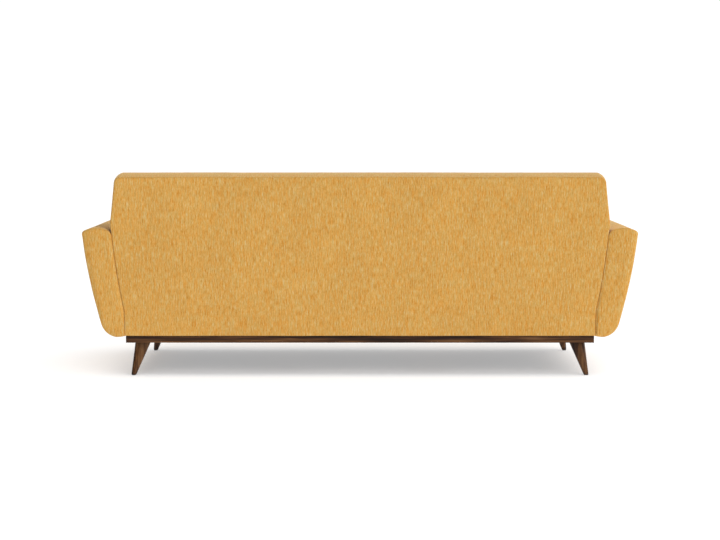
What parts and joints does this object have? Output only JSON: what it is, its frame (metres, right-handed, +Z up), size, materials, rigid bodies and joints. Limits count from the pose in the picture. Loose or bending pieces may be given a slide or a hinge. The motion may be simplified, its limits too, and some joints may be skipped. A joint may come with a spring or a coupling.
{
  "type": "three-seat sofa",
  "caption": "Upholstered three-seat sofa with a raked box back, crowned slab arms, loose seat and back cushions, and a dark wood plinth on splayed tapered legs.",
  "frame": {"origin": "on the floor, under the middle of the sofa's outline", "axes": "+X towards the sitter's left along the length, -Y the way the sofa faces, +Z up"},
  "size_m": [2.197, 0.934, 0.8157],
  "materials": {
    "gold_chenille": "matte",
    "cushion_core": "matte",
    "upholstery_foam": "matte",
    "dark_walnut": "satin",
    "plywood": "matte",
    "fibre_board": "matte",
    "frame_timber": "matte",
    "jute_webbing": "matte",
    "deck_cloth": "matte",
    "dust_cloth": "matte",
    "nylon": "satin",
    "spring_steel": "satin",
    "zinc_steel": "satin"
  },
  "bodies": {
    "root": {"arm_bolts": "zinc_steel", "arm_cover_left": "gold_chenille", "arm_cover_right": "gold_chenille", "arm_foam_left": "upholstery_foam", "arm_foam_right": "upholstery_foam", "arm_plywood_left": "plywood", "arm_plywood_right": "plywood", "arm_rails_left": "frame_timber", "arm_rails_right": "frame_timber", "arm_ribs_left": "plywood", "arm_ribs_right": "plywood", "back_cover": "gold_chenille", "back_foam": "upholstery_foam", "back_foot_rail": "frame_timber", "back_posts": "frame_timber", "back_top_rail": "frame_timber", "back_webbing_across": "jute_webbing", "back_webbing_upright": "jute_webbing", "dust_cover": "dust_cloth", "front_border_cover": "gold_chenille", "front_border_pad": "upholstery_foam", "leg_back_left": "dark_walnut", "leg_back_right": "dark_walnut", "leg_front_left": "dark_walnut", "leg_front_right": "dark_walnut", "leg_glides": "nylon", "leg_hanger_bolts": "zinc_steel", "leg_t_nuts": "zinc_steel", "outside_back_board": "fibre_board", "outside_back_cover": "gold_chenille", "plinth_rail_back": "dark_walnut", "plinth_rail_front": "dark_walnut", "plinth_rail_left": "dark_walnut", "plinth_rail_right": "dark_walnut", "plinth_screws": "zinc_steel", "plinth_stretchers": "dark_walnut", "seat_corner_blocks": "frame_timber", "seat_cross_rails": "frame_timber", "seat_deck_cloth": "deck_cloth", "seat_deck_pad": "upholstery_foam", "seat_rail_back": "frame_timber", "seat_rail_front": "frame_timber", "seat_rail_left": "frame_timber", "seat_rail_right": "frame_timber", "seat_springs": "spring_steel", "spring_clips": "spring_steel", "spring_tie_wires": "spring_steel"},
    "seat_cushion_right": {"seat_cushion_cover_right": "gold_chenille", "seat_cushion_core_right": "cushion_core"},
    "back_cushion_right": {"back_cushion_cover_right": "gold_chenille", "back_cushion_core_right": "cushion_core"},
    "seat_cushion_centre": {"seat_cushion_cover_centre": "gold_chenille", "seat_cushion_core_centre": "cushion_core"},
    "back_cushion_centre": {"back_cushion_cover_centre": "gold_chenille", "back_cushion_core_centre": "cushion_core"},
    "seat_cushion_left": {"seat_cushion_cover_left": "gold_chenille", "seat_cushion_core_left": "cushion_core"},
    "back_cushion_left": {"back_cushion_cover_left": "gold_chenille", "back_cushion_core_left": "cushion_core"}
  },
  "joints": [
    {"name": "seat_cushion_lift_right", "type": "slide", "parent": "root", "child": "seat_cushion_right", "axis": [0, 0, 1], "range_m": [0, 0.35]},
    {"name": "seat_cushion_lift_centre", "type": "slide", "parent": "root", "child": "seat_cushion_centre", "axis": [0, 0, 1], "range_m": [0, 0.35]},
    {"name": "seat_cushion_lift_left", "type": "slide", "parent": "root", "child": "seat_cushion_left", "axis": [0, 0, 1], "range_m": [0, 0.35]},
    {"name": "back_cushion_lift_right", "type": "slide", "parent": "root", "child": "back_cushion_right", "axis": [0, 0.1305, 0.9914], "range_m": [0, 0.53]},
    {"name": "back_cushion_lift_centre", "type": "slide", "parent": "root", "child": "back_cushion_centre", "axis": [0, 0.1305, 0.9914], "range_m": [0, 0.53]},
    {"name": "back_cushion_lift_left", "type": "slide", "parent": "root", "child": "back_cushion_left", "axis": [0, 0.1305, 0.9914], "range_m": [0, 0.53]}
  ]
}
